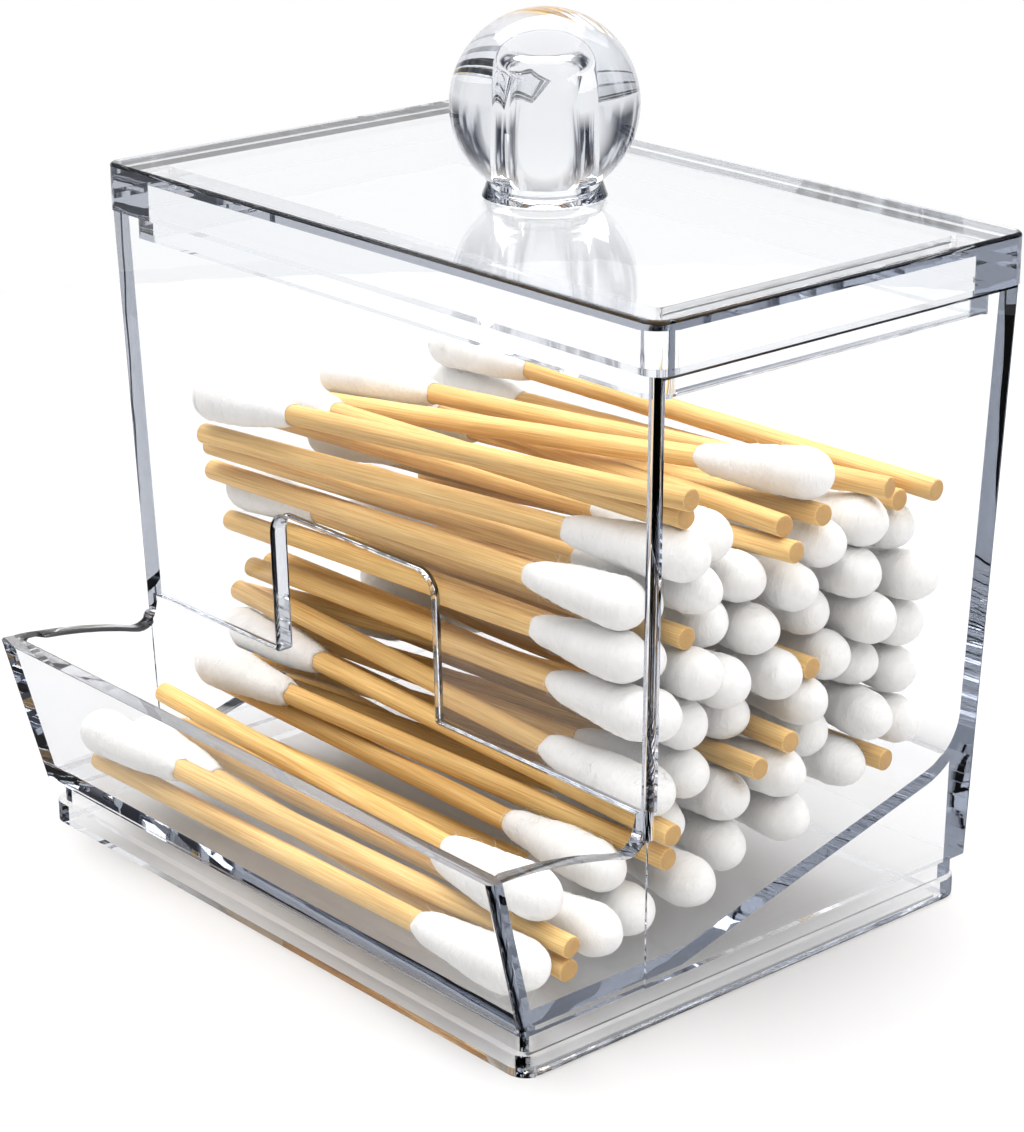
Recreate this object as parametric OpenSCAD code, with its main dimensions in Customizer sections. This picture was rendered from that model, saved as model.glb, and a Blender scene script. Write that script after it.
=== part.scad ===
// Cotton swab holder: a clear moulded box with a sloping ramp, a low front tray and a lift-off lid with a
// ball knob, filled with wooden cotton swabs. Millimetres, +Z up, the front tray toward -Y. The origin is
// the middle of the footprint, on the table.

/* [Swabs] */
// Length of one swab from the bare end to the end of the cotton
swab_l = 75; // [64:0.5:90]
// Diameter of the stick
stick_d = 2.4; // [1.8:0.1:2.8]
// Largest diameter of the cotton tip
tip_d = 5.5; // [4.6:0.1:6]
// Length of the cotton tip along the stick
tip_l = 17; // [13:0.5:20]
// Thickness of the cotton where it starts on the stick
tip_start_t = 0.35; // [0.2:0.05:0.5]
// Free room between neighbouring swabs
swab_gap = 0.12; // [0.08:0.01:0.2]
// Free room of the stick in its cotton
stick_fit = 0.03; // [0.02:0.01:0.05]
// Number that picks the pattern of the loose pile
pile_seed = 5; // [1:1:40]

/* [Chamber] */
// Depth of the chamber from front to back at the lid
chamber_d = 51.2; // [46:0.2:60]
// Height of the wall tops above the table
wall_h = 69.2; // [66:0.2:90]
// Thickness of the walls
wall_t = 2.2; // [1.8:0.1:2.6]
// Free room at each end of a swab near the floor
end_room = 2.3; // [1.6:0.1:3]
// How far each end wall leans inward from its top to the table
side_lean = 2.4; // [1:0.1:3]
// How far the front and back walls lean inward from top to table
face_lean = 1.7; // [0.8:0.1:2.2]
// Radius of the box's upright corners
corner_r = 1; // [0.6:0.1:2]

/* [Ramp and tray] */
// Height of the tray's floor above the table
floor_z = 7.3; // [6.6:0.1:9]
// Slope of the ramp in degrees
ramp_angle = 14.5; // [13:0.5:18]
// Distance from the chamber's front face to the foot of the ramp
ramp_start = 7.6; // [6.6:0.1:9]
// Radius of the bend where the ramp meets the back wall
ramp_bend_r = 6; // [3:0.5:8]
// How far the tray's rim stands out in front of the lid
tray_reach = 19; // [18:0.2:26]
// How far the tray's end walls stand back from the chamber's
tray_inset = 0.25; // [0.1:0.05:0.5]
// Height of the tray's front rim above the table
tray_rim_z = 23; // [21:0.2:25]
// How far the tray's front wall leans outward from its foot to its rim
tray_slant = 4.6; // [3:0.1:6]
// How far the tray's side rims sink from the front to the chamber
rim_sink = 3.6; // [2:0.1:5]
// Radius of the fillet where the side rim meets the chamber's front edge
step_r = 2.2; // [1.2:0.1:4]
// Height of the outlet under the chamber's front wall, above the floor
outlet_h = 16.3; // [15:0.1:18]
// Width of the finger notch in the front wall
notch_w = 27; // [20:0.5:40]
// Height of the finger notch
notch_h = 16.5; // [10:0.5:20]
// Distance of the notch from the middle of the front wall, toward +X
notch_x = -3.4; // [-6:0.2:6]
// Radius of the notch's upper corners
notch_r = 2.5; // [1.5:0.5:8]

/* [Foot] */
// Height of the foot flange
foot_h = 2.4; // [1.8:0.1:2.8]
// Radius of the foot flange's corners in plan
foot_r = 2.5; // [1.5:0.1:4]
// How far the groove above the foot flange stands back from the box's outline
groove = 1.3; // [1:0.1:1.6]
// Radius of the groove's corners in plan
neck_r = 1.6; // [0.8:0.1:2]
// How far the foot flange stands back from the box's outline
foot_inset = 0.4; // [0.1:0.1:0.6]
// Thickness of the wall behind the groove
skirt_t = 1.4; // [1:0.1:2]

/* [Lid] */
// Height of the lid's border
lid_h = 5.4; // [4.6:0.1:7]
// Thickness of the lid's top plate
plate_t = 2.2; // [1.8:0.1:2.6]
// Radius of the lid's corners in plan
lid_r = 2; // [1:0.1:4]
// How far the lid stands out past the walls
lid_over = 0.4; // [0.1:0.1:0.8]
// How far the lid's lip drops into the chamber
lip_drop = 3; // [2:0.1:4]
// Thickness of the lid's lip
lip_t = 2; // [1.6:0.1:2.6]
// Free room between the lip and the chamber's walls
lip_gap = 0.4; // [0.2:0.05:0.6]

/* [Knob] */
// Diameter of the ball
ball_d = 20.2; // [16:0.2:24]
// Diameter of the neck under the ball
knob_neck_d = 12.2; // [10:0.2:13]
// Diameter of the knob's foot ring
knob_foot_d = 13.4; // [12:0.2:15]
// Height of the knob's foot ring
knob_foot_h = 1.7; // [1.2:0.1:2.4]
// Diameter of the knob's hollow core
core_d = 7.6; // [6:0.2:10]
// Height of the core's top above the middle of the ball
core_top = 4.5; // [2:0.1:6]
// Radius of the core's upper edge
core_r = 1.8; // [0.5:0.1:2]

/* [Hidden] */
$fn = 64;
// Overrun that carries every cut past the face it opens
over = 1 * wall_t;
half = 1 / 2;

// Box, derived. cy is the middle of the chamber in Y.
box_w = swab_l + 2 * (end_room + wall_t + side_lean);
cy = (tray_reach - lid_over) * half;
y_back = cy + chamber_d * half;
y_front = cy - chamber_d * half;
y_tip = y_front - tray_reach;
lean_x = side_lean / wall_h;
lean_y = face_lean / wall_h;
function half_w(z) = box_w * half - lean_x * (wall_h - z);
function front_at(z) = y_front + lean_y * (wall_h - z);
function back_at(z) = y_back - lean_y * (wall_h - z);

// Tray, derived. The front wall runs from its foot to the rim. The side rim is an arc, level at the tip.
floor_under = floor_z - wall_t;
slant_slope = tray_slant / (tray_rim_z - floor_under);
function tray_at(z) = y_tip + slant_slope * (tray_rim_z - z);
tray_wall = wall_t * sqrt(1 + slant_slope * slant_slope);
step_z = tray_rim_z - rim_sink;
rim_run = front_at(step_z) - y_tip;
rim_r = (rim_run * rim_run + rim_sink * rim_sink) / (2 * rim_sink);
rim_c = [y_tip, tray_rim_z - rim_r];
outlet_z = floor_z + outlet_h;

// Fillet on the step: a circle that touches the side rim's arc and the chamber's front edge.
step_y = front_at(step_z + step_r) - step_r;
step_cz = rim_c[1] + sqrt(pow(rim_r + step_r, 2) - pow(step_y - rim_c[0], 2));
step_touch = rim_c + ([step_y, step_cz] - rim_c) * rim_r / (rim_r + step_r);

// Ramp, derived
y_ramp = y_front + ramp_start;
ca = cos(ramp_angle);
sa = sin(ramp_angle);
function ramp_z(y) = floor_z + max(0, y - y_ramp) * sa / ca;
bend_z = ramp_z(back_at(floor_z) - wall_t);
bend_y = back_at(bend_z + ramp_bend_r) - wall_t - ramp_bend_r;
bend_cz = ramp_z(bend_y) + ramp_bend_r / ca;
bend_touch = [bend_y + ramp_bend_r * sa, bend_cz - ramp_bend_r * ca];

// The corner's round stops a little short of touching, so that it meets both faces in a fine edge.
ease_share = 0.978;

// Hollow base, derived: a straight-sided hollow that opens downward.
hollow_x = half_w(0) - groove - skirt_t;
hollow_front = tray_at(floor_under) + groove + skirt_t;
hollow_back = back_at(0) - wall_t;

// Lid, derived
lid_top = wall_h + lid_h;
lip_x = half_w(wall_h - lip_drop) - wall_t - lip_gap;
lip_y = chamber_d * half - lean_y * lip_drop - wall_t - lip_gap;
lip_r = max(lid_r - wall_t * half, lid_r * half);

// Knob, derived: the ball stands on its neck.
ball_z = lid_top + knob_foot_h + sqrt(pow(ball_d * half, 2) - pow(knob_neck_d * half, 2));

// Swabs, derived. A swab is [left end, right end, turned, and its place and thickness at each station].
// A turned swab has its cotton at the left. Stations are the cross-sections in which swabs are kept apart.
stick_r = stick_d * half;
tip_r = tip_d * half;
shift_room = end_room - swab_gap;
tray_n = 8;
pile_n = 54;
group_n = 9;
last_n = 9;
try_n = 14;
pull_share = 0.04;
yaw_share = 1.5;
top_yaw_share = 3;
top_tilt_share = 1.5;
turn_share = 0.7;
station_n = 6;
station_share = 0.08;
station_step = swab_l * station_share;
stations = [for (k = [-station_n:station_n]) k * station_step];
rnd = rands(-1, 1, 1000, pile_seed);
function pick(k) = rnd[k % 1000];

// Radius that covers the swab half a station to either side, at distance d from its cotton end
function cover_r(d) =
    let (e = d - station_step * half, s = min(1, max(0, (e - tip_r) / (tip_l - tip_r))))
    s < 1 ? tip_r + (stick_r + tip_start_t - tip_r) * s : stick_r;
// Lowest height of a round of radius r at y: on the floor, on the ramp or in the bend at the back
function floor_at(y, r) =
    let (in_r = max(ramp_bend_r - r, swab_gap), t = min(in_r, y - bend_y))
    y > bend_y + in_r * sa ? bend_cz - sqrt(in_r * in_r - t * t) + swab_gap
        : max(floor_z + r, floor_z + (y - y_ramp) * sa / ca + r / ca) + swab_gap;
function share_at(x, mid_x) = (x - mid_x) / swab_l + half;

// A swab that is let down at yl and yr until it rests on the floor or on those already in the list
function settle(list, yl, yr, mid_x, turned, tilt) =
    let (
        rs = [for (x = stations) cover_r(swab_l * half + (turned ? x - mid_x : mid_x - x))],
        ys = [for (x = stations) yl + (yr - yl) * share_at(x, mid_x)],
        need = [for (k = [0:station_n * 2]) max(concat([floor_at(ys[k], rs[k])],
            [for (o = list) let (r = rs[k] + o[5][k] + swab_gap, d = ys[k] - o[3][k])
                if (abs(d) < r) o[4][k] + sqrt(r * r - d * d)]))],
        l0 = max([for (k = [0:station_n]) need[k]]), r0 = max([for (k = [station_n:station_n * 2]) need[k]]),
        l1 = max(l0, r0 - tilt), r1 = max(r0, l0 - tilt),
        lift = max([for (k = [0:station_n * 2]) need[k] - l1 - (r1 - l1) * share_at(stations[k], mid_x)]),
        zl = l1 + max(lift, 0), zr = r1 + max(lift, 0),
        zs = [for (x = stations) zl + (zr - zl) * share_at(x, mid_x)],
        run = sqrt(swab_l * swab_l - pow(yr - yl, 2) - pow(zr - zl, 2)) * half
    ) [[mid_x - run, yl, zl], [mid_x + run, yr, zr], turned, ys, zs, rs];
// The lowest of several tries between y0 and y1, turned by up to yaw across the swab
function lowest(list, k, y0, y1, yaw, tilt, turned) =
    let (
        tries = [for (c = [0:try_n - 1])
            let (
                y = y0 + (y1 - y0) * (c + half + pick(41 * k + 7 * c) * half) / try_n,
                swing = yaw * pick(29 * k + 13 * c + 5) * half,
                yl = min(y1, max(y0, y - swing)), yr = min(y1, max(y0, y + swing))
            ) settle(list, yl, yr, shift_room * pick(17 * k + 3), turned, tilt)],
        cost = [for (s = tries) s[0][2] + s[1][2] + pull_share * (s[1][1] - y0)],
        best = min(cost)
    ) [for (c = [0:try_n - 1]) if (cost[c] == best) tries[c]][0];

// Filling: first the tray, then the chamber. The last ones lie more across and most are turned.
tray_y0 = tray_at(floor_z + tip_r) + tray_wall + tip_r + swab_gap;
pile_y0 = front_at(0) + wall_t + tip_r + swab_gap;
pile_y1 = back_at(0) - wall_t - tip_r - swab_gap;
yaw = tip_d * yaw_share;
top_yaw = tip_d * top_yaw_share;
top_tilt = tip_d * top_tilt_share;
function fill(list, k) =
    k == tray_n + pile_n ? list : fill(concat(list, [
        k < tray_n ? lowest(list, k, tray_y0, y_ramp, yaw, tip_r, k % 3 == 1)
        : k < tray_n + pile_n - last_n ? lowest(list, k, pile_y0, pile_y1, yaw, tip_d, pick(k + 60) > turn_share)
        : lowest(list, k, pile_y0, pile_y1, top_yaw, top_tilt, k % 4 != 2)]), k + 1);
swabs = fill([], 0);
function group(g) = [for (k = [0:group_n - 1]) swabs[tray_n + g * group_n + k]];
tray_swabs = [for (k = [0:tray_n - 1]) swabs[k]];

// One swab turned so that its bare end is at the start of its axis
module on_axis(s) {
    a = s[2] ? s[1] : s[0];
    b = s[2] ? s[0] : s[1];
    d = b - a;
    translate(a) rotate([0, acos(d[2] / norm(d)), atan2(d[1], d[0])]) children();
}

// Cotton tip: a ball end and a taper down to the stick, with a blind bore for the stick
bore_l = tip_l - tip_r;
taper_angle = 15;
taper_r = tip_r * cos(taper_angle);
taper_l = tip_l - tip_r - tip_r * sin(taper_angle);
module tip_shape() {
    rotate_extrude() difference() {
        union() {
            intersection() {
                translate([0, tip_l - tip_r]) circle(r = tip_r);
                translate([0, taper_l]) square([tip_d, tip_d * 2]);
            }
            polygon([[0, 0], [stick_r + tip_start_t, 0], [taper_r, taper_l], [0, taper_l]]);
        }
        translate([-over, -over]) square([over + stick_r + stick_fit, over + bore_l]);
    }
}
module sticks(list) {
    color([0.87, 0.72, 0.49]) for (s = list) on_axis(s)
        cylinder(d = stick_d, h = swab_l - tip_l + bore_l - stick_fit);
}
module tips(list) {
    color([0.96, 0.96, 0.95]) for (s = list) on_axis(s) translate([0, 0, swab_l - tip_l]) tip_shape();
}

// Turns a drawing of the side view (Y across, Z up) into a block that runs along X
module along_x(w) {
    translate([-w * half, 0, 0]) rotate([90, 0, 90]) linear_extrude(height = w) children();
}
// Turns a drawing of the front view (X across, Z up) into a block that runs along Y
module along_y(y0, y1) {
    translate([0, y1, 0]) rotate([90, 0, 0]) linear_extrude(height = y1 - y0) children();
}

// Side view of the whole box: chamber, tray with its bowed rim, and the fillet between them
module side_view() {
    polygon([[front_at(floor_under), floor_under], [back_at(floor_under), floor_under],
        [back_at(wall_h), wall_h], [front_at(wall_h), wall_h]]);
    intersection() {
        translate(rim_c) circle(r = rim_r, $fn = 256);
        polygon([[tray_at(floor_under), floor_under], [front_at(floor_under) + wall_t, floor_under],
            [front_at(floor_under) + wall_t, tray_rim_z + over],
            [tray_at(tray_rim_z + over), tray_rim_z + over]]);
    }
    difference() {
        polygon([[step_y, step_cz], step_touch, [step_touch[0], step_touch[1] - wall_t],
            [step_y + step_r + wall_t, step_touch[1] - wall_t], [step_y + step_r + wall_t, step_cz]]);
        translate([step_y, step_cz]) circle(r = step_r);
    }
}
// Side view of the room in front of the chamber's front face
module tray_zone() {
    polygon([[front_at(0), 0], [front_at(wall_h), wall_h], [y_tip - over, wall_h], [y_tip - over, 0]]);
}
// Front view of the leaning end walls, moved inward by t
module front_view(t, z0, z1) {
    polygon([[-half_w(z0) + t, z0], [half_w(z0) - t, z0], [half_w(z1) - t, z1], [-half_w(z1) + t, z1]]);
}
// Side view of the space inside: chamber, outlet and tray, down to the ramp and the floor
module inside_view() {
    z1 = wall_h + over;
    z2 = step_cz + step_r + over;
    difference() {
        polygon([[tray_at(floor_z) + tray_wall, floor_z], [y_ramp, floor_z],
            [back_at(bend_z) - wall_t, ramp_z(back_at(bend_z) - wall_t)],
            [back_at(z1) - wall_t, z1], [front_at(z1) + wall_t, z1],
            [front_at(outlet_z) + wall_t, outlet_z], [front_at(outlet_z), outlet_z], [front_at(z2), z2],
            [tray_at(z2) + tray_wall, z2]]);
        difference() {
            polygon([bend_touch, [back_at(bend_z), bend_touch[1] - wall_t],
                [back_at(bend_cz), bend_cz], [bend_y, bend_cz]]);
            translate([bend_y, bend_cz]) circle(r = ramp_bend_r);
        }
    }
}
// Side view of the hollow under the ramp, rounded like the bend above it
module hollow_view() {
    y1 = hollow_back;
    r = ramp_bend_r + wall_t;
    turn = y_ramp + wall_t * tan(ramp_angle * half);
    difference() {
        polygon([[hollow_front, -over], [y1, -over], [y1, bend_cz], [bend_y, bend_cz],
            [bend_y + r * sa, bend_cz - r * ca], [turn, floor_under], [hollow_front, floor_under]]);
        translate([bend_y, bend_cz]) circle(r = r);
    }
}
// Plan of a rectangle with round corners
module round_plan(x, y0, y1, r) {
    translate([-x + r, y0]) square([(x - r) * 2, y1 - y0]);
    translate([-x, y0 + r]) square([x * 2, y1 - y0 - r * 2]);
    for (sx = [-1, 1]) for (y = [y0 + r, y1 - r]) translate([sx * (x - r), y]) circle(r = r);
}

// Box: one clear moulding of chamber, ramp, tray and foot
module body() {
    foot_x = half_w(foot_h);
    foot_y = tray_at(floor_under);
    color([0.85, 0.89, 0.93, 0.4]) difference() {
        union() {
            intersection() {
                along_x(box_w + over * 2) side_view();
                along_y(y_tip - over, y_back + over) front_view(0, floor_under - over, wall_h + over);
            }
            linear_extrude(height = floor_under + wall_t * half)
                round_plan(foot_x - groove, foot_y + groove, back_at(0), neck_r);
            linear_extrude(height = foot_h)
                round_plan(foot_x - foot_inset, foot_y + foot_inset, back_at(0), foot_r);
        }
        intersection() {
            along_x(box_w) inside_view();
            along_y(y_tip - over, y_back + over) front_view(wall_t, floor_under - over, wall_h + over * 2);
        }
        along_x(hollow_x * 2) hollow_view();
        intersection() {
            along_x(box_w + over * 2) tray_zone();
            along_y(y_tip - over, y_back) difference() {
                front_view(-over, floor_under, wall_h);
                front_view(tray_inset, floor_under, wall_h);
            }
        }
        for (sx = [-1, 1]) {
            corner_cut(sx, -1, [sx * half_w(step_cz), front_at(step_cz), step_cz],
                [sx * half_w(wall_h), y_front, wall_h]);
            corner_cut(sx, 1, [sx * half_w(floor_under), back_at(floor_under), floor_under],
                [sx * half_w(wall_h), y_back, wall_h]);
            corner_cut(sx, -1, [sx * (half_w(floor_under) - tray_inset), tray_at(floor_under), floor_under],
                [sx * (half_w(tray_rim_z) - tray_inset), y_tip, tray_rim_z]);
        }
        along_y(y_front - over, front_at(0) + wall_t + over) translate([notch_x, 0]) notch_view();
    }
}
// Bar that eases an outer corner which runs from point a to point b; sx and sy point out of the corner
module corner_cut(sx, sy, a, b) {
    d = (b - a) / norm(b - a);
    c = corner_r * ease_share;
    translate(a - d * over * half) rotate([-asin(d[1]), atan2(d[0], d[2]), 0])
        linear_extrude(height = norm(b - a) + over * 2) difference() {
            translate([sx > 0 ? -c : -over, sy > 0 ? -c : -over]) square(c + over);
            translate([-sx * c, -sy * c]) circle(r = corner_r);
        }
}
// Front view of the finger notch, open at the outlet
module notch_view() {
    z1 = outlet_z + notch_h;
    translate([-notch_w * half, outlet_z - over]) square([notch_w, notch_h + over - notch_r]);
    translate([-notch_w * half + notch_r, outlet_z - over]) square([notch_w - notch_r * 2, notch_h + over]);
    for (sx = [-1, 1]) translate([sx * (notch_w * half - notch_r), z1 - notch_r]) circle(r = notch_r);
}
// Lid: a plate with a thick border that stands on the walls and a lip that drops inside them
module lid() {
    inner_x = lip_x - lip_t;
    inner_y = lip_y - lip_t;
    color([0.85, 0.89, 0.93, 0.4]) difference() {
        union() {
            translate([0, 0, wall_h]) linear_extrude(height = lid_h)
                round_plan(box_w * half + lid_over, y_front - lid_over, y_back + lid_over, lid_r);
            translate([0, 0, wall_h - lip_drop]) linear_extrude(height = lip_drop + lid_h * half)
                round_plan(lip_x, cy - lip_y, cy + lip_y, lip_r);
        }
        translate([0, 0, wall_h - lip_drop - over])
            linear_extrude(height = lip_drop + over + lid_h - plate_t)
            round_plan(inner_x, cy - inner_y, cy + inner_y, lip_r * half);
    }
}
// Knob: a clear ball on a flared foot ring, moulded round a hollow core that opens downward
module knob() {
    color([0.85, 0.89, 0.93, 0.4]) translate([0, cy, 0]) rotate_extrude($fn = 128) difference() {
        union() {
            intersection() {
                translate([0, ball_z]) circle(d = ball_d, $fn = 128);
                translate([0, lid_top + knob_foot_h]) square([ball_d, ball_d * 2]);
            }
            polygon([[0, lid_top], [knob_foot_d * half, lid_top],
                [knob_neck_d * half, lid_top + knob_foot_h], [0, lid_top + knob_foot_h]]);
        }
        core_view();
    }
}
// Half view of the knob's core, with a round upper edge
module core_view() {
    z0 = lid_top - over;
    z1 = ball_z + core_top;
    translate([0, z0]) square([core_d * half, z1 - core_r - z0]);
    translate([0, z0]) square([core_d * half - core_r, z1 - z0]);
    translate([core_d * half - core_r, z1 - core_r]) circle(r = core_r);
}

body();
lid();
knob();
sticks(tray_swabs);  // tray_sticks
tips(tray_swabs);  // tray_tips
sticks(group(0));  // pile1_sticks
tips(group(0));  // pile1_tips
sticks(group(1));  // pile2_sticks
tips(group(1));  // pile2_tips
sticks(group(2));  // pile3_sticks
tips(group(2));  // pile3_tips
sticks(group(3));  // pile4_sticks
tips(group(3));  // pile4_tips
sticks(group(4));  // pile5_sticks
tips(group(4));  // pile5_tips
sticks(group(5));  // pile6_sticks
tips(group(5));  // pile6_tips
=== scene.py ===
import math

import bmesh
import bpy
import numpy as np
from mathutils import Matrix, Vector


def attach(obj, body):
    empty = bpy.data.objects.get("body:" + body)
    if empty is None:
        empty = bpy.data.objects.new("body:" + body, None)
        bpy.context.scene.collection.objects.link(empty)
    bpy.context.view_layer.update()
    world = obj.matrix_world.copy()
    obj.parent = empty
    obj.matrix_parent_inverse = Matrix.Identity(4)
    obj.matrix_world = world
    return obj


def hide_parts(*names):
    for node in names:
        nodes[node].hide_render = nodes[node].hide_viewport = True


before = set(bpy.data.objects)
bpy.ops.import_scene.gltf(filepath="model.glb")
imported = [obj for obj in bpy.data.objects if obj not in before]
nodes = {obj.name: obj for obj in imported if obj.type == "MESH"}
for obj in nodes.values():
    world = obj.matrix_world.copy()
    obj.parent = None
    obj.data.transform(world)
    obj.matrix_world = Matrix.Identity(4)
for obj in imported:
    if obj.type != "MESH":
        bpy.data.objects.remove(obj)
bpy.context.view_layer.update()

MM = 0.001
STICK_SEED, TIP_SEED = 41, 141
BODY = "box"
GROUPS = ["tray"] + ["pile%d" % k for k in range(1, 7)]
scene = bpy.context.scene

# Sticks, in millimetres
STICK_AROUND = 28        # points round a stick
STICK_RINGS = 22         # rings between its eased ends
STICK_EASE = 0.16        # round on the rim of a cut end
STICK_RIDGE = 0.022      # height of the fibre ridges
STICK_SLACK = 0.02       # how far the surface stays inside the solid
RIDGE_LOW, RIDGE_HIGH = -0.06, 0.02  # deepest and highest ridge
RIM_ALONG_SHARE = 0.4    # middle of the rim's round, as a share of it along the stick
RIM_IN_SHARE = 0.35      # and as a share of it inwards
CUT_RING_SHARE = 0.55    # ring on the cut end, as a share of the radius
GRAIN_SPREAD = 400       # sticks take their grain from places up to this far apart each way
TONE_ALIKE = 2.2         # the higher, the more alike the tones of the sticks

# Cotton tips, in millimetres
TIP_AROUND = 44          # points round a tip
TIP_RINGS = 46           # rings along it
TIP_CROWD = 1.35         # power that crowds the rings towards the end
TIP_FULL = 1.35          # power of the taper: the higher, the fuller near the stick
TIP_DOME = 0.20          # share of the tip's length that its round end takes
TIP_START = 0.30         # cotton on the stick where the taper starts
TIP_SLACK = 0.06         # how far the surface stays inside the solid
TIP_OVER = 0.05          # how far a lump may stand out of the solid
COTTON_EDGE = 0.03       # thickness of the cotton where it thins out on the stick
RAGGED = 0.7             # how far that edge wanders along the stick
RAGGED_STEEP = 1.5       # the higher, the more sudden its steps
THIN_RUN = 1.6           # length over which the cotton grows to its full thickness
THIN_POWER = 0.6         # power of that growth
LUMP = 0.13              # height of the soft lumps of a tip
WRAP = 0.025             # height of the wound layers
WRAP_PITCH = 1.5, 2.3    # least and most distance between them
FADE_IN, FADE_OUT = 4.0, 1.2  # lengths over which lumps and layers come and go
LAY_SPREAD = 300         # tips take their fibres from places up to this far apart each way
BORE_PLAY = 0.015        # room between the stick and its bore
BORE_DEEP = 0.2          # room between the stick's end and the bottom of its bore
BORE_LIP = 0.01          # the bore starts this far behind the ragged edge
FIBRE_R = 0.020          # radius of a loose fibre
FIBRES = 200             # loose fibres on each tip
FIBRE_STEPS = 6          # points along a fibre
FIBRE_ROOTS = 0.04, 0.93     # where fibres start, as shares of the tip's length
FIBRE_ENDS = 0.02, 0.985     # how far they may run, as shares of it
FIBRE_TURN = 0.7         # usual turn round the tip, in radians
FIBRE_RUN = 0.07         # usual run along it, as a share of its length
FIBRE_RISE = 2.0, 0.15   # shape and scale of the spread of heights
FIBRE_TAPER = 0.6        # share of its radius that a fibre loses on its way
FIBRE_TILT = 0.37        # turns the reference line so that no fibre lies along it
TINY = 1e-9              # keeps a length from being zero

# Clear mouldings, in millimetres and degrees
EASE = 0.40              # round on the edges
EASE_STEPS = 3           # faces across that round
EASE_TURN = 40.0         # an edge that turns by more is rounded
EASE_BROAD = 1.2         # a face narrower than this keeps its edges
SMOOTH_TURN = 30.0       # an edge that turns by more is shaded sharp
FLAT_TURN = 0.3          # faces that turn by less are joined
MERGE = 0.001            # points closer than this are joined
RING_FILL = 0.5          # a ring fills less than this share of its own box
SEAM = 0.03              # seam of air under a piece that stands on another clear one

# Studio, in metres
FLOOR_RADII = [0.0005, 0.07, 0.14, 0.20, 0.26]
FLOOR_SIDES = 48
FLOOR_DROP = 0.00005     # the floor lies this far under the foot
SKY = 0.9                # strength of the surround
BEHIND = (-0.756, 0.654, 0.0)  # level direction from the camera past the object
BOUNCES = 24             # light paths in the clear walls are long
SOFT_BOUNCES = 2         # bounces between cotton, bamboo and floor


# Mesh helpers

def new_piece(name, points, quads, tris, material, extra):
    """One object from arrays: points (n, 3) in millimetres, faces as index arrays, and point attributes."""
    mesh = bpy.data.meshes.new(name)
    mesh.from_pydata((points * MM).tolist(), [], quads.tolist() + tris.tolist())
    for key, values in extra.items():
        kind = "FLOAT_VECTOR" if values.ndim == 2 else "FLOAT"
        layer = mesh.attributes.new(key, kind, "POINT")
        layer.data.foreach_set("vector" if values.ndim == 2 else "value", values.astype(np.float32).ravel())
    mesh.polygons.foreach_set("use_smooth", np.ones(len(mesh.polygons), bool))
    mesh.materials.append(material)
    mesh.validate()
    mesh.update()
    piece = bpy.data.objects.new(name, mesh)
    scene.collection.objects.link(piece)
    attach(piece, BODY)
    return piece


def tube_faces(rings, around, first, pole_a, pole_b):
    """Faces of a closed tube: quads between rings of `around` points, and a fan of triangles to a pole at
    each end."""
    i, j = np.meshgrid(np.arange(rings - 1), np.arange(around), indexing="ij")
    i, j = i.ravel(), j.ravel()
    k = (j + 1) % around
    quads = np.stack([i * around + j, i * around + k, (i + 1) * around + k, (i + 1) * around + j], 1) + first
    j = np.arange(around)
    k = (j + 1) % around
    last = first + (rings - 1) * around
    fan_a = np.stack([np.full(around, pole_a), first + k, first + j], 1)
    fan_b = np.stack([np.full(around, pole_b), last + j, last + k], 1)
    return quads, np.concatenate([fan_a, fan_b])


def solids_of(node):
    """The points of each separate solid of a node, in millimetres: points at the same place are joined, and
    the lowest label spreads along the edges until every solid has one."""
    mesh = nodes[node].data
    co = np.zeros(len(mesh.vertices) * 3)
    mesh.vertices.foreach_get("co", co)
    co = co.reshape(-1, 3) / MM
    spots, same = np.unique(np.round(co, 4), axis=0, return_inverse=True)
    edges = np.zeros(len(mesh.edges) * 2, int)
    mesh.edges.foreach_get("vertices", edges)
    a, b = same.ravel()[edges.reshape(-1, 2)].T
    label = np.arange(len(spots))
    while True:
        low = np.minimum(label[a], label[b])
        fresh = label.copy()
        np.minimum.at(fresh, a, low)
        np.minimum.at(fresh, b, low)
        fresh = fresh[fresh]
        if (fresh == label).all():
            break
        label = fresh
    return [spots[label == k] for k in np.unique(label)]


def swabs_of(group):
    """Each swab of a group as (start, direction, side, stick length, tip start, tip end, stick radius, tip
    radius). The stick's own points give its line by their main direction, and the tip whose middle lies on
    that line says which end carries the cotton."""
    tips = solids_of(group + "_tips")
    middles = np.array([(t.min(0) + t.max(0)) / 2 for t in tips])
    rows = []
    for stick in solids_of(group + "_sticks"):
        centre = stick.mean(0)
        line = np.linalg.svd(stick - centre, full_matrices=False)[2][0]
        off = middles - centre
        away = np.linalg.norm(off - np.outer(off @ line, line), axis=1)
        pick = int(away.argmin())
        if off[pick] @ line < 0:
            line = -line
        along = (stick - centre) @ line
        start = centre + line * along.min()
        out = stick - centre - np.outer(along, line)
        reach = (tips[pick] - start) @ line
        wide = tips[pick] - start - np.outer(reach, line)
        side = np.cross(line, [0.0, 0.0, 1.0])
        side /= np.linalg.norm(side)
        rows.append((start, line, side, np.ptp(along), reach.min(), reach.max(),
                     np.linalg.norm(out, axis=1).max(), np.linalg.norm(wide, axis=1).max()))
    rows.sort(key=lambda r: tuple(np.round(r[0], 3)))
    return rows


def around_line(start, line, side, along, radius, angle):
    """Points at a distance along a line, turned round it by an angle:
    start + along * line + radius * (cos * side + sin * up)."""
    up = np.cross(line, side)
    return (start + along[..., None] * line
            + (radius * np.cos(angle))[..., None] * side + (radius * np.sin(angle))[..., None] * up)


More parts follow.
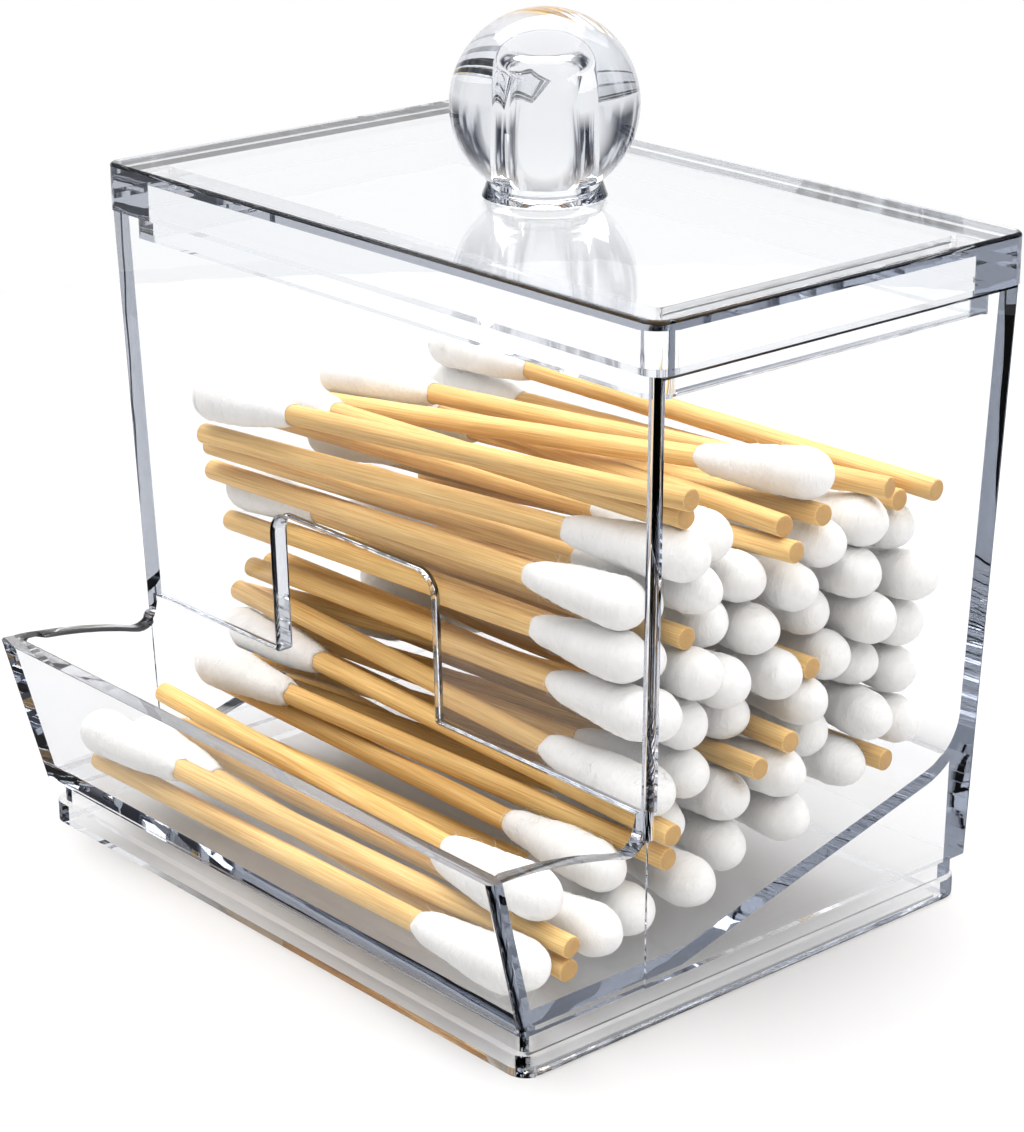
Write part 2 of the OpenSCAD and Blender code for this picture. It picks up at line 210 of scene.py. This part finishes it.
def waves(rng, angle, along, count, around_most, per_mm, falling=1.0):
    """A sum of sine waves over angle and length, with whole numbers of them round the line, so that the seam
    closes. A wave is the lower, the more often it goes round."""
    total = np.zeros(np.broadcast(angle, along).shape)
    for _ in range(count):
        k = rng.integers(0, around_most + 1)
        f = rng.uniform(-per_mm, per_mm)
        total += np.sin(k * angle + 2 * np.pi * f * along + rng.uniform(0, 2 * np.pi)) / (1 + falling * k)
    return total / math.sqrt(count)


# Materials

def nodes_of(name):
    """A new node material, its tree and its shader."""
    mat = bpy.data.materials.new(name)
    mat.use_nodes = True
    tree = mat.node_tree
    shader = tree.nodes["Principled BSDF"]
    return mat, tree, shader


def node(tree, kind, **sets):
    """A new node, with each named setting put on the socket or the property of that name."""
    n = tree.nodes.new(kind)
    for key, value in sets.items():
        if key in n.inputs:
            n.inputs[key].default_value = value
        else:
            setattr(n, key, value)
    return n


def ramp(tree, source, stops):
    """A colour ramp fed by a socket, with stops given as (place, colour)."""
    r = tree.nodes.new("ShaderNodeValToRGB")
    while len(r.color_ramp.elements) < len(stops):
        r.color_ramp.elements.new(0.5)
    for e, (at, colour) in zip(r.color_ramp.elements, stops):
        e.position = at
        e.color = (*colour, 1)
    tree.links.new(source, r.inputs[0])
    return r


def clear_moulded(name, flow_scale, waviness, shade):
    """Clear moulded plastic that bends light, takes a little blue grey from it over a long way, lets the
    share `shade` of the lamps' light through, and has shallow flow waves, finer at a larger flow_scale."""
    mat, tree, shader = nodes_of(name)
    link = tree.links.new
    shader.inputs["Base Color"].default_value = (0.99, 0.995, 1.0, 1)
    shader.inputs["Transmission Weight"].default_value = 1.0
    shader.inputs["IOR"].default_value = 1.49
    shader.inputs["Roughness"].default_value = 0.0
    shader.inputs["Specular Tint"].default_value = (0.12, 0.12, 0.13, 1)
    place = node(tree, "ShaderNodeTexCoord")
    flow = node(tree, "ShaderNodeTexNoise", Scale=flow_scale, Detail=2.0, Roughness=0.5)
    link(place.outputs["Object"], flow.inputs["Vector"])
    bump = node(tree, "ShaderNodeBump", Strength=waviness, Distance=0.0008)
    link(flow.outputs["Fac"], bump.inputs["Height"])
    link(bump.outputs["Normal"], shader.inputs["Normal"])
    path = node(tree, "ShaderNodeLightPath")
    through = node(tree, "ShaderNodeBsdfTransparent", Color=(shade, shade * 1.003, shade * 1.007, 1))
    mix = node(tree, "ShaderNodeMixShader")
    link(path.outputs["Is Shadow Ray"], mix.inputs[0])
    link(shader.outputs[0], mix.inputs[1])
    link(through.outputs[0], mix.inputs[2])
    link(mix.outputs[0], tree.nodes["Material Output"].inputs["Surface"])
    depth = node(tree, "ShaderNodeVolumeAbsorption", Color=(0.40, 0.44, 0.52, 1), Density=24.0)
    link(depth.outputs[0], tree.nodes["Material Output"].inputs["Volume"])
    return mat


def bamboo_stick():
    """Bamboo: fibres that run along the stick, lighter and darker sticks, and a browner cut end."""
    mat, tree, shader = nodes_of("bamboo_stick")
    link = tree.links.new
    grain = node(tree, "ShaderNodeAttribute", attribute_name="grain")
    tone = node(tree, "ShaderNodeAttribute", attribute_name="tone")
    cut = node(tree, "ShaderNodeAttribute", attribute_name="cut")
    fine = node(tree, "ShaderNodeMapping")
    fine.inputs["Scale"].default_value = (8.0, 8.0, 0.10)
    link(grain.outputs["Vector"], fine.inputs["Vector"])
    fibre = node(tree, "ShaderNodeTexNoise", Scale=1.0, Detail=3.0, Roughness=0.6)
    link(fine.outputs[0], fibre.inputs["Vector"])
    wide = node(tree, "ShaderNodeMapping")
    wide.inputs["Scale"].default_value = (0.7, 0.7, 0.05)
    link(grain.outputs["Vector"], wide.inputs["Vector"])
    cloud = node(tree, "ShaderNodeTexNoise", Scale=1.0, Detail=2.0, Roughness=0.5)
    link(wide.outputs[0], cloud.inputs["Vector"])
    streaks = ramp(tree, fibre.outputs["Fac"],
                   [(0.26, (0.62, 0.34, 0.10)), (0.42, (0.82, 0.51, 0.19)), (0.58, (0.92, 0.64, 0.275)),
                    (0.78, (0.97, 0.77, 0.42))])
    shade = ramp(tree, cloud.outputs["Fac"], [(0.3, (0.82, 0.78, 0.70)), (0.7, (1.08, 1.06, 1.02))])
    mixed = node(tree, "ShaderNodeMix", data_type="RGBA", blend_type="MULTIPLY")
    mixed.inputs["Factor"].default_value = 1.0
    link(streaks.outputs["Color"], mixed.inputs["A"])
    link(shade.outputs["Color"], mixed.inputs["B"])
    toned = node(tree, "ShaderNodeMix", data_type="RGBA", blend_type="MULTIPLY")
    toned.inputs["Factor"].default_value = 1.0
    tint = ramp(tree, tone.outputs["Fac"],
                [(0.0, (0.86, 0.81, 0.73)), (0.5, (1.0, 0.985, 0.96)), (1.0, (1.08, 1.08, 1.05))])
    link(mixed.outputs["Result"], toned.inputs["A"])
    link(tint.outputs["Color"], toned.inputs["B"])
    ends = node(tree, "ShaderNodeMix", data_type="RGBA")
    ends.inputs["B"].default_value = (0.47, 0.26, 0.09, 1)
    half = node(tree, "ShaderNodeMath", operation="MULTIPLY")
    half.inputs[1].default_value = 0.7
    link(cut.outputs["Fac"], half.inputs[0])
    link(half.outputs[0], ends.inputs["Factor"])
    link(toned.outputs["Result"], ends.inputs["A"])
    link(ends.outputs["Result"], shader.inputs["Base Color"])
    dull = node(tree, "ShaderNodeMapRange")
    dull.inputs["To Min"].default_value = 0.42
    dull.inputs["To Max"].default_value = 0.62
    link(fibre.outputs["Fac"], dull.inputs["Value"])
    link(dull.outputs[0], shader.inputs["Roughness"])
    shader.inputs["Specular IOR Level"].default_value = 0.25
    bump = node(tree, "ShaderNodeBump", Strength=0.35, Distance=0.00006)
    link(fibre.outputs["Fac"], bump.inputs["Height"])
    link(bump.outputs["Normal"], shader.inputs["Normal"])
    return mat


def cotton_tip():
    """Wound cotton: soft white with fine fibres that run round the tip, and a matt fuzzy sheen."""
    mat, tree, shader = nodes_of("cotton_tip")
    link = tree.links.new
    lay = node(tree, "ShaderNodeAttribute", attribute_name="lay")
    wound = node(tree, "ShaderNodeMapping")
    wound.inputs["Scale"].default_value = (0.9, 0.9, 3.6)
    link(lay.outputs["Vector"], wound.inputs["Vector"])
    fibre = node(tree, "ShaderNodeTexNoise", Scale=1.0, Detail=4.0, Roughness=0.65, Distortion=0.5)
    link(wound.outputs[0], fibre.inputs["Vector"])
    puff = node(tree, "ShaderNodeTexNoise", Scale=0.45, Detail=2.0, Roughness=0.5)
    link(lay.outputs["Vector"], puff.inputs["Vector"])
    white = ramp(tree, fibre.outputs["Fac"], [(0.25, (0.92, 0.90, 0.87)), (0.6, (0.985, 0.97, 0.945))])
    soft = ramp(tree, puff.outputs["Fac"], [(0.3, (0.96, 0.955, 0.95)), (0.7, (1.0, 1.0, 1.0))])
    mixed = node(tree, "ShaderNodeMix", data_type="RGBA", blend_type="MULTIPLY")
    mixed.inputs["Factor"].default_value = 1.0
    link(white.outputs["Color"], mixed.inputs["A"])
    link(soft.outputs["Color"], mixed.inputs["B"])
    link(mixed.outputs["Result"], shader.inputs["Base Color"])
    shader.inputs["Roughness"].default_value = 0.95
    shader.inputs["Specular IOR Level"].default_value = 0.15
    shader.inputs["Sheen Weight"].default_value = 0.3
    shader.inputs["Sheen Roughness"].default_value = 0.6
    bump = node(tree, "ShaderNodeBump", Strength=0.7, Distance=0.00022)
    link(fibre.outputs["Fac"], bump.inputs["Height"])
    link(bump.outputs["Normal"], shader.inputs["Normal"])
    return mat


# Swabs

def make_sticks(group, swabs, material, rng):
    """Bamboo sticks: a circle of the stick's radius carried along its line, with shallow fibre ridges round
    it that drift slowly along it, an eased rim at each cut end and a pole in the middle of the cut."""
    around, ease = STICK_AROUND, STICK_EASE
    points, quads, tris, grain, tone, cut = [], [], [], [], [], []
    count = 0
    for start, line, side, length, _, _, radius, _ in swabs:
        rim = ease * RIM_ALONG_SHARE
        along = np.concatenate([[0, 0, rim], np.linspace(ease, length - ease, STICK_RINGS),
                                [length - rim, length, length]])
        share = np.ones(len(along))
        share[:3] = [CUT_RING_SHARE, 1 - ease / radius, 1 - ease * RIM_IN_SHARE / radius]
        share[-3:] = share[:3][::-1]
        angle = np.arange(around) * 2 * np.pi / around
        a, s = np.meshgrid(angle, along)
        ridges = STICK_RIDGE * waves(rng, a, s, count=9, around_most=9, per_mm=0.012, falling=0.15)
        r = share[:, None] * (radius - STICK_SLACK + np.clip(ridges, RIDGE_LOW, RIDGE_HIGH))
        ring = around_line(start, line, side, s, r, a)
        poles = np.array([start, start + line * length])
        place = np.stack([r * np.cos(a), r * np.sin(a), s], -1).reshape(-1, 3)
        pole_place = np.array([[0, 0, 0], [0, 0, length]])
        q, t = tube_faces(len(along), around, count, count + a.size, count + a.size + 1)
        points += [ring.reshape(-1, 3), poles]
        quads.append(q)
        tris.append(t)
        shift = rng.uniform(-GRAIN_SPREAD, GRAIN_SPREAD, 3)
        grain += [place + shift, pole_place + shift]
        tone.append(np.full(a.size + 2, rng.beta(TONE_ALIKE, TONE_ALIKE)))
        is_cut = np.zeros_like(a)
        is_cut[:2] = is_cut[-2:] = 1
        cut += [is_cut.ravel(), [1, 1]]
        count += a.size + 2
    extra = {"grain": np.concatenate(grain), "tone": np.concatenate(tone), "cut": np.concatenate(cut)}
    piece = new_piece(group + "_bamboo", np.concatenate(points), np.concatenate(quads), np.concatenate(tris),
                      material, extra)
    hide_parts(group + "_sticks")


def tip_radius(x, thin, thick, dome):
    """Radius of a cotton tip at x, 0 at the stick and 1 at the end: a full taper that grows as one less the
    power TIP_FULL of what is left of its way, then a round dome over the last share, a quarter of an
    ellipse."""
    body = thin + (thick - thin) * (1 - (1 - np.clip(x / (1 - dome), 0, 1)) ** TIP_FULL)
    over = np.clip((x - (1 - dome)) / dome, 0, 1)
    return np.where(x > 1 - dome, thick * np.sqrt(np.maximum(1 - over ** 2, 0)), body)


def make_tips(group, swabs, material, rng):
    """Cotton tips: the tip's radius turned round the stick's line, with a ragged thin edge on the stick, soft
    lumps, wound layers, a bore for the stick, and loose fibres that leave the surface along short curves."""
    around = TIP_AROUND
    points, quads, tris, lay = [], [], [], []
    count = 0
    for start, line, side, length, t0, t1, radius, thick in swabs:
        angle = np.arange(around) * 2 * np.pi / around
        u = 1 - (1 - np.linspace(0, 1, TIP_RINGS + 1)[:-1]) ** TIP_CROWD
        a, x = np.meshgrid(angle, u)
        wander = waves(rng, angle, angle * 0, count=6, around_most=4, per_mm=0, falling=0.3)
        edge = t0 + RAGGED * (0.5 + 0.5 * np.tanh(RAGGED_STEEP * wander))
        s = edge[None, :] + (t1 - edge)[None, :] * x
        r = tip_radius((s - t0) / (t1 - t0), radius + TIP_START, thick - TIP_SLACK, TIP_DOME)
        lumps = LUMP * waves(rng, a, s, count=10, around_most=3, per_mm=0.12, falling=0.3)
        turns = WRAP * np.sin(2 * np.pi * s / rng.uniform(*WRAP_PITCH) + a + rng.uniform(0, 6.28))
        fade = np.clip((s - edge[None, :]) / FADE_IN, 0, 1) * np.clip((t1 - s) / FADE_OUT, 0, 1)
        thin = np.clip((s - edge[None, :]) / THIN_RUN, 0, 1) ** THIN_POWER
        r = radius + COTTON_EDGE + (r - radius - COTTON_EDGE) * thin
        r = np.minimum(r + (lumps + turns) * fade, thick + TIP_OVER)
        outer = around_line(start, line, side, s, r, a)
        bore_s = np.stack([edge + BORE_LIP, np.full(around, length + BORE_DEEP)][::-1])
        bore_r = np.full_like(bore_s, radius + BORE_PLAY)
        inner = around_line(start, line, side, bore_s, bore_r, np.stack([angle, angle]))
        ring = np.concatenate([inner, outer])
        poles = np.array([start + line * (length + BORE_DEEP), start + line * t1])
        pole = count + len(ring) * around
        q, t = tube_faces(len(ring), around, count, pole, pole + 1)
        points += [ring.reshape(-1, 3), poles]
        quads.append(q)
        tris.append(t)
        shift = rng.uniform(-LAY_SPREAD, LAY_SPREAD, 3)
        all_r, all_s = np.concatenate([bore_r, r]), np.concatenate([bore_s, s])
        all_a = np.broadcast_to(angle, all_r.shape)
        place = np.stack([all_r * np.cos(all_a), all_r * np.sin(all_a), all_s], -1).reshape(-1, 3)
        lay += [place + shift, np.array([[0, 0, length], [0, 0, t1]]) + shift]
        count = pole + 2
        hair = loose_fibres(start, line, side, t0, t1, radius, thick, rng)
        steps = hair.shape[1]
        base = count + np.arange(len(hair))[:, None, None] * steps * 3
        i, j = np.meshgrid(np.arange(steps - 1), np.arange(3), indexing="ij")
        n = (j + 1) % 3
        faces = np.stack([i * 3 + j, i * 3 + n, (i + 1) * 3 + n, (i + 1) * 3 + j], -1).reshape(1, -1, 4)
        quads.append((base + faces).reshape(-1, 4))
        caps = np.array([[[2, 1, 0], [steps * 3 - 3, steps * 3 - 2, steps * 3 - 1]]])
        tris.append((base + caps).reshape(-1, 3))
        points.append(hair.reshape(-1, 3))
        lay.append(hair.reshape(-1, 3) + shift)
        count += hair.size // 3
    piece = new_piece(group + "_cotton", np.concatenate(points), np.concatenate(quads), np.concatenate(tris),
                      material, {"lay": np.concatenate(lay)})
    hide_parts(group + "_tips")


def loose_fibres(start, line, side, t0, t1, radius, thick, rng):
    """Loose fibres as thin three-sided tubes: each follows the tip's surface for a way round it and rises off
    it by a parabola of its length. Returns points (fibre, step, 3 sides, xyz)."""
    steps = FIBRE_STEPS
    w = np.linspace(0, 1, steps)
    x0 = rng.uniform(*FIBRE_ROOTS, (FIBRES, 1))
    a0 = rng.uniform(0, 2 * np.pi, (FIBRES, 1))
    turn = rng.normal(0, FIBRE_TURN, (FIBRES, 1))
    run = rng.normal(0, FIBRE_RUN, (FIBRES, 1))
    rise = rng.gamma(*FIBRE_RISE, (FIBRES, 1))
    x = np.clip(x0 + run * w, *FIBRE_ENDS)
    a = a0 + turn * w
    r = tip_radius(x, radius + TIP_START, thick - TIP_SLACK, TIP_DOME) - TIP_SLACK + rise * w ** 2
    spine = around_line(start, line, side, t0 + (t1 - t0) * x, r, a)
    ahead = np.gradient(spine, axis=1)
    ahead /= np.linalg.norm(ahead, axis=2, keepdims=True) + TINY
    p = np.cross(ahead, line + FIBRE_TILT * side)
    p /= np.linalg.norm(p, axis=2, keepdims=True) + TINY
    q = np.cross(ahead, p)
    thin = FIBRE_R * (1 - FIBRE_TAPER * w)[None, :, None]
    spin = np.arange(3) * 2 * np.pi / 3
    return (spine[:, :, None, :] + (thin * np.cos(spin))[..., None] * p[:, :, None, :]
            + (thin * np.sin(spin))[..., None] * q[:, :, None, :])


bamboo = bamboo_stick()
cotton = cotton_tip()
for index, group in enumerate(GROUPS):
    swabs = swabs_of(group)
    make_sticks(group, swabs, bamboo, np.random.default_rng(STICK_SEED + index))
    make_tips(group, swabs, cotton, np.random.default_rng(TIP_SEED + index))


# Clear box, lid and knob

def is_ring(face):
    """True for a face that runs round an opening: it fills little of its own box."""
    p = np.array([v.co[:] for v in face.verts])
    sides = np.sort(np.ptp(p, axis=0))
    return face.calc_area() < RING_FILL * sides[1] * sides[2]


def eased_copy(name, body, materials, seat=None):
    """A merged copy of a CAD node with its outer edges eased: triangles in one plane are joined, and every
    outward edge that turns by more than EASE_TURN between two broad faces is rounded off by EASE. The rings
    on which the box and the lid stand keep their edges. Where it stands on another clear piece, at the
    height `seat`, a seam of air as thin as SEAM is left."""
    work = bmesh.new()
    work.from_mesh(nodes[name].data)
    bmesh.ops.remove_doubles(work, verts=work.verts, dist=MERGE * MM)
    for vert in work.verts:
        if seat is not None and abs(vert.co.z - seat) < SEAM * MM / 2:
            vert.co.z += SEAM * MM
    bmesh.ops.dissolve_limit(work, angle_limit=math.radians(FLAT_TURN), verts=work.verts, edges=work.edges)
    weight = work.edges.layers.float.new("bevel_weight_edge")
    for edge in work.edges:
        if len(edge.link_faces) == 2 and edge.is_convex and edge.calc_face_angle() > math.radians(EASE_TURN):
            broad = min(f.calc_area() / edge.calc_length() for f in edge.link_faces)
            if broad > EASE_BROAD * MM and not any(is_ring(f) for f in edge.link_faces):
                edge[weight] = 1.0
    mesh = bpy.data.meshes.new(name + "_clear")
    work.to_mesh(mesh)
    work.free()
    if "custom_normal" in mesh.attributes:
        mesh.attributes.remove(mesh.attributes["custom_normal"])
    mesh.polygons.foreach_set("use_smooth", np.ones(len(mesh.polygons), bool))
    mesh.set_sharp_from_angle(angle=math.radians(SMOOTH_TURN))
    for material in materials:
        mesh.materials.append(material)
    mesh.polygons.foreach_set("material_index", np.zeros(len(mesh.polygons), int))
    piece = bpy.data.objects.new(name + "_clear", mesh)
    scene.collection.objects.link(piece)
    round_off = piece.modifiers.new("eased", "BEVEL")
    round_off.limit_method = "WEIGHT"
    round_off.width = EASE * MM
    round_off.segments = EASE_STEPS
    round_off.use_clamp_overlap = False
    round_off.material = 1
    even = piece.modifiers.new("even", "WEIGHTED_NORMAL")
    even.keep_sharp = True
    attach(piece, body)
    piece.visible_diffuse = False
    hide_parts(name)


clear = clear_moulded("clear_plastic", flow_scale=45.0, waviness=0.05, shade=0.985)
wavy = clear_moulded("clear_edge", flow_scale=160.0, waviness=0.5, shade=0.70)
eased_copy("body", "box", [clear, wavy])
eased_copy("lid", "lid", [clear, wavy], max(v.co.z for v in nodes["body"].data.vertices))
eased_copy("knob", "lid", [clear, wavy], min(v.co.z for v in nodes["knob"].data.vertices))


# Studio

def floor_sheet():
    """Floor: a round sheet, radius times (cos, sin) of the angle, just under the foot. Mirror images of it
    in the clear walls are kept dim."""
    n = FLOOR_SIDES
    a, r = np.meshgrid(np.arange(n) * 2 * np.pi / n, np.array(FLOOR_RADII))
    p = np.stack([r * np.cos(a), r * np.sin(a), np.full_like(a, -FLOOR_DROP)], -1).reshape(-1, 3)
    i, j = np.meshgrid(np.arange(len(FLOOR_RADII) - 1), np.arange(n), indexing="ij")
    i, j = i.ravel(), j.ravel()
    k = (j + 1) % n
    f = np.stack([i * n + j, (i + 1) * n + j, (i + 1) * n + k, i * n + k], 1)
    mesh = bpy.data.meshes.new("floor")
    mesh.from_pydata(p.tolist(), [], f.tolist() + [list(range(n))])
    mat, tree, shader = nodes_of("pale_floor")
    shader.inputs["Base Color"].default_value = (0.56, 0.56, 0.563, 1)
    shader.inputs["Roughness"].default_value = 0.6
    shader.inputs["Specular IOR Level"].default_value = 0.1
    link = tree.links.new
    path = node(tree, "ShaderNodeLightPath")
    mirrored = node(tree, "ShaderNodeMath", operation="MULTIPLY")
    link(path.outputs["Is Singular Ray"], mirrored.inputs[0])
    link(path.outputs["Is Reflection Ray"], mirrored.inputs[1])
    dim = node(tree, "ShaderNodeBsdfDiffuse", Color=(0.08, 0.08, 0.085, 1))
    mix = node(tree, "ShaderNodeMixShader")
    link(mirrored.outputs[0], mix.inputs[0])
    link(shader.outputs[0], mix.inputs[1])
    link(dim.outputs[0], mix.inputs[2])
    link(mix.outputs[0], tree.nodes["Material Output"].inputs["Surface"])
    mesh.materials.append(mat)
    floor = bpy.data.objects.new("floor", mesh)
    scene.collection.objects.link(floor)


def softbox(name, at, towards, size, watts, colour):
    """A rectangular lamp at one point that faces another."""
    lamp = bpy.data.lights.new(name, "AREA")
    lamp.shape = "RECTANGLE"
    lamp.size, lamp.size_y = size
    lamp.energy = watts
    lamp.color = colour
    ob = bpy.data.objects.new(name, lamp)
    ob.location = at
    ob.rotation_euler = (Vector(towards) - Vector(at)).to_track_quat("-Z", "Y").to_euler()
    scene.collection.objects.link(ob)


def studio_sky():
    """Studio surround by direction: white overhead, behind the object and below the horizon, where the floor
    goes on, and slate grey walls with paler streaks of stretched noise at the sides. Seen straight by the
    camera it is plain white."""
    world = bpy.data.worlds.new("studio")
    scene.world = world
    world.use_nodes = True
    tree = world.node_tree
    link = tree.links.new
    back = tree.nodes["Background"]
    place = tree.nodes.new("ShaderNodeTexCoord")
    split = tree.nodes.new("ShaderNodeSeparateXYZ")
    link(place.outputs["Generated"], split.inputs[0])
    stretch = tree.nodes.new("ShaderNodeMapping")
    stretch.inputs["Scale"].default_value = (3.0, 3.0, 1.0)
    link(place.outputs["Generated"], stretch.inputs["Vector"])
    streak = node(tree, "ShaderNodeTexNoise", Scale=1.3, Detail=2.0, Roughness=0.5)
    link(stretch.outputs[0], streak.inputs["Vector"])
    walls = ramp(tree, streak.outputs["Fac"], [(0.44, (0.04, 0.045, 0.06)), (0.54, (0.16, 0.17, 0.21)),
                                               (0.60, (0.9, 0.92, 0.95))])
    toward = node(tree, "ShaderNodeVectorMath", operation="DOT_PRODUCT")
    toward.inputs[1].default_value = BEHIND
    link(place.outputs["Generated"], toward.inputs[0])
    behind = node(tree, "ShaderNodeMapRange")
    behind.inputs["From Min"].default_value = 0.80
    behind.inputs["From Max"].default_value = 0.92
    link(toward.outputs["Value"], behind.inputs["Value"])
    above = node(tree, "ShaderNodeMapRange")
    above.inputs["From Min"].default_value = 0.35
    above.inputs["From Max"].default_value = 0.75
    link(split.outputs["Z"], above.inputs["Value"])
    roofed = node(tree, "ShaderNodeMix", data_type="RGBA")
    roofed.inputs["B"].default_value = (1.0, 1.0, 1.0, 1)
    link(above.outputs[0], roofed.inputs["Factor"])
    link(walls.outputs["Color"], roofed.inputs["A"])
    whole = node(tree, "ShaderNodeMix", data_type="RGBA")
    whole.inputs["B"].default_value = (1.16, 1.16, 1.16, 1)
    below = node(tree, "ShaderNodeMapRange")
    below.inputs["From Min"].default_value = -0.03
    below.inputs["From Max"].default_value = -0.18
    link(split.outputs["Z"], below.inputs["Value"])
    most = node(tree, "ShaderNodeMath", operation="MAXIMUM")
    link(behind.outputs[0], most.inputs[0])
    link(below.outputs[0], most.inputs[1])
    link(most.outputs[0], whole.inputs["Factor"])
    link(roofed.outputs["Result"], whole.inputs["A"])
    link(whole.outputs["Result"], back.inputs["Color"])
    back.inputs["Strength"].default_value = SKY
    plain = tree.nodes.new("ShaderNodeBackground")
    plain.inputs["Color"].default_value = (1.0, 1.0, 1.0, 1)
    path = tree.nodes.new("ShaderNodeLightPath")
    mix = tree.nodes.new("ShaderNodeMixShader")
    link(path.outputs["Is Camera Ray"], mix.inputs[0])
    link(back.outputs[0], mix.inputs[1])
    link(plain.outputs[0], mix.inputs[2])
    link(mix.outputs[0], tree.nodes["World Output"].inputs["Surface"])


floor_sheet()
studio_sky()
softbox("overhead", (-0.15, 0.1, 0.75), (0, 0, 0.03), (0.9, 0.9), 10.5, (1.0, 0.99, 0.975))
softbox("right_window", (0.65, 0.1, 0.55), (0, 0, 0.03), (0.5, 0.5), 3.0, (1.0, 0.985, 0.965))
softbox("left_window", (-0.55, -0.45, 0.35), (0, 0, 0.04), (0.35, 0.6), 0.5, (1.0, 1.0, 1.0))


# Camera, fitted to the corners of the lid, tray and foot in the photograph

right = Vector((0.65461, 0.75597, 0.0))
up = Vector((-0.25980, 0.22496, 0.93910))
back = Vector((0.70993, -0.61474, 0.34366))
ROLL = 0.004363          # turn about the line of sight, in radians
lens = bpy.data.cameras.new("photo_camera")
lens.lens = 100.05
lens.sensor_width = 36.0
lens.clip_start = 0.01
camera = bpy.data.objects.new("photo_camera", lens)
across, over = (right - ROLL * up).normalized(), (up + ROLL * right).normalized()
spot = Vector((0.24500, -0.20768, 0.15232))
camera.matrix_world = Matrix((
    (across.x, over.x, back.x, spot.x),
    (across.y, over.y, back.y, spot.y),
    (across.z, over.z, back.z, spot.z),
    (0, 0, 0, 1)))
scene.collection.objects.link(camera)
scene.camera = camera

scene.view_settings.view_transform = "Standard"
scene.cycles.diffuse_bounces = SOFT_BOUNCES
scene.cycles.max_bounces = BOUNCES
scene.cycles.transmission_bounces = BOUNCES
scene.cycles.glossy_bounces = BOUNCES
scene.cycles.transparent_max_bounces = BOUNCES
